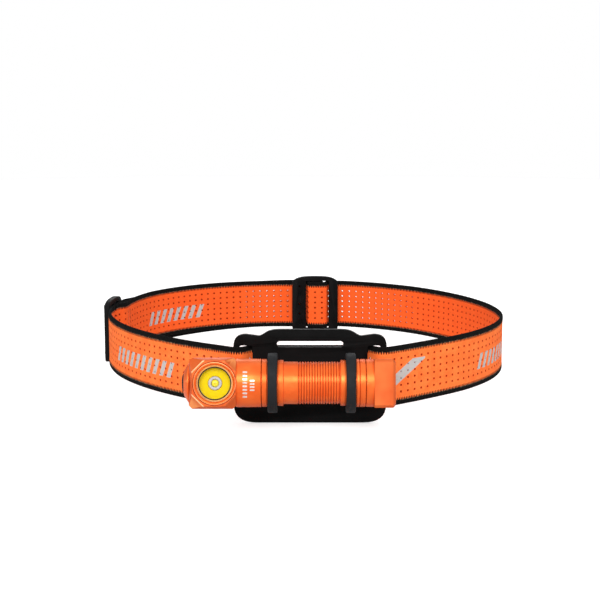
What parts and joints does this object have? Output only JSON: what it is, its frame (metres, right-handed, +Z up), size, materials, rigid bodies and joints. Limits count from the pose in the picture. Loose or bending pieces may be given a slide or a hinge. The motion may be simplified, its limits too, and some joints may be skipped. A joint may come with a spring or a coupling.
{
  "type": "headlamp",
  "caption": "Right-angle tube headlamp held by silicone loops on a mount plate, on a perforated elastic head strap with sliders.",
  "frame": {"origin": "under the middle of the whole object's box, on the level of its lowest edge, the mount plate's bottom", "axes": "+Z up, -Y towards the beam's side, +X towards the lamp's tail end"},
  "size_m": [0.1882, 0.2134, 0.0388],
  "materials": {
    "anodised_aluminium": "orange anodised, satin",
    "webbing": "perforated orange elastic webbing with black edges",
    "silicone": "matt dark grey silicone",
    "black_plastic": "satin black moulded plastic",
    "black_rubber": "matt black rubber",
    "lens_glass": "clear coated glass",
    "clear_plastic": "clear moulded optic that shows the yellow emitter",
    "phosphor": "yellow phosphor",
    "white_plastic": "white moulded plastic",
    "circuit_board": "green solder mask",
    "copper": "bare copper",
    "brass": "plated brass",
    "steel": "nickel-plated steel",
    "battery_sleeve": "shrink sleeve"
  },
  "bodies": {
    "strap_and_mount": {"mount_plate": "black_plastic", "retaining_loop_head": "silicone", "retaining_loop_tail": "silicone", "strap_front": "webbing", "strap_inner_layer": "webbing", "strap_outer_layer": "webbing", "strap_back_stretch": "webbing", "strap_left_stretch": "webbing", "strap_inner_back_stretch": "webbing", "strap_inner_left_stretch": "webbing", "strap_outer_back_stretch": "webbing", "strap_outer_left_stretch": "webbing"},
    "lamp": {"head_housing": "anodised_aluminium", "lens_bezel": "anodised_aluminium", "lens_o_ring": "black_rubber", "lens_window": "lens_glass", "tir_optic": "clear_plastic", "led_gasket": "white_plastic", "led_emitter": "phosphor", "led_board": "copper", "led_wire_top": "copper", "led_wire_bottom": "copper", "driver_board": "circuit_board", "driver_ring": "brass", "driver_contact": "brass", "switch_bezel": "anodised_aluminium", "tact_switch": "steel", "switch_lead": "copper", "battery_tube": "anodised_aluminium", "head_o_ring": "black_rubber", "tail_o_ring": "black_rubber", "battery_can": "steel", "battery_sleeve": "battery_sleeve", "battery_nub": "steel"},
    "button": {"switch_button": "black_rubber"},
    "tail_contact": {"tail_board": "circuit_board", "tail_magnet": "steel", "tail_spring": "steel"},
    "tail_cap_body": {"tail_cap": "anodised_aluminium"},
    "back_slider_body": {"back_slider": "black_plastic", "strap_back_weave": "webbing", "strap_back_sewn_end": "webbing"},
    "left_slider_body": {"left_slider": "black_plastic", "strap_left_weave": "webbing", "strap_left_sewn_end": "webbing"}
  },
  "joints": [
    {"name": "lamp_tilt", "type": "hinge", "parent": "strap_and_mount", "child": "lamp", "pos_m": [0.00414, -0.0948, 0.0201], "axis": [1, 0, 0], "range_deg": [-75, 95]},
    {"name": "button_press", "type": "slide", "parent": "lamp", "child": "button", "axis": [1, 0, 0], "range_m": [0, 0.0006], "stiffness_N_per_m": 1500, "springref_m": -0.0005},
    {"name": "tail_travel", "type": "slide", "parent": "lamp", "child": "tail_contact", "axis": [1, 0, 0], "range_m": [0, 0.004]},
    {"name": "tail_turn", "type": "hinge", "parent": "tail_contact", "child": "tail_cap_body", "pos_m": [0.00414, -0.0948, 0.0201], "axis": [1, 0, 0], "range_deg": [0, 1440]},
    {"name": "back_slider_move", "type": "slide", "parent": "strap_and_mount", "child": "back_slider_body", "axis": [1, 0, 0], "range_m": [-0.008, 0.008], "deforming": ["strap_back_stretch", "strap_inner_back_stretch", "strap_outer_back_stretch"]},
    {"name": "left_slider_move", "type": "slide", "parent": "strap_and_mount", "child": "left_slider_body", "axis": [0.1219, 0.9925, 0], "range_m": [-0.006, 0.006], "deforming": ["strap_left_stretch", "strap_inner_left_stretch", "strap_outer_left_stretch"]}
  ],
  "couplings": [
    {"joint": "tail_turn", "follows": "tail_travel", "rad_per_m": 6283.2}
  ]
}
